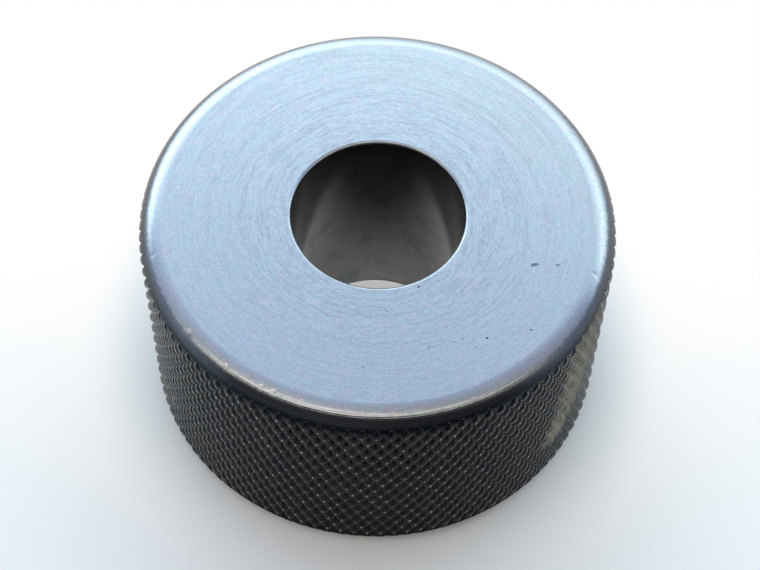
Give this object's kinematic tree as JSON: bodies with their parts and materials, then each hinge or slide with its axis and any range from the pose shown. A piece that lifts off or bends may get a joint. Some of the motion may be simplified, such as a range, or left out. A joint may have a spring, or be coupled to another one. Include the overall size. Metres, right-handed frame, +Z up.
{
  "type": "plain ring gauge",
  "caption": "Plain ring gauge: a thick steel ring with a smooth lapped bore, flat ground ends, rounded corners and a diamond-knurled rim.",
  "frame": {"origin": "centre of the lower end face, which the ring stands on", "axes": "+Z up the bore's axis; +X and +Y are free, because the ring is round"},
  "size_m": [0.035, 0.035, 0.0191],
  "materials": {
    "gauge_steel": "hardened steel, ground bright on the end faces and the bore, blackened on the rounded corners and the knurled rim"
  },
  "bodies": {
    "root": {"gauge_ring": "gauge_steel"}
  },
  "joints": []
}
